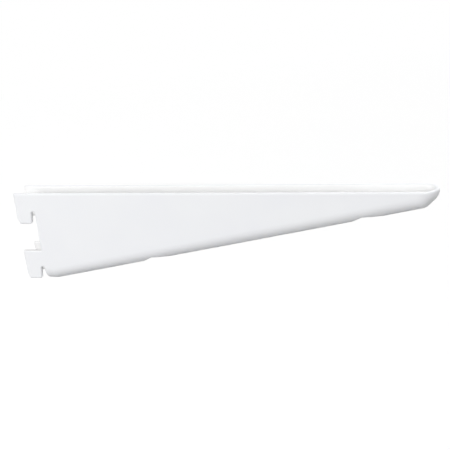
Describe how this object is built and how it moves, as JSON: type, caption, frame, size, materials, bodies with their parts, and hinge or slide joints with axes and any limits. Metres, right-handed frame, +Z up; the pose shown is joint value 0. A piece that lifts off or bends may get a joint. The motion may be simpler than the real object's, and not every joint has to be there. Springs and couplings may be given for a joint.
{
  "type": "slotted shelf bracket",
  "caption": "Tapered sheet-steel shelf bracket, a channel open at the top with a closed round nose, hooks that drop into a slotted upright and level screw seats underneath.",
  "frame": {"origin": "where the back edges of the two walls meet the shelf plane, midway between the walls", "axes": "+X runs from the upright's face out to the nose, +Y across the channel, +Z up, as the bracket hangs on its upright"},
  "size_m": [0.2311, 0.0144, 0.0507],
  "materials": {
    "powder_coated_steel": "smooth satin white powder coat"
  },
  "bodies": {
    "root": {"bracket": "powder_coated_steel"}
  },
  "joints": []
}
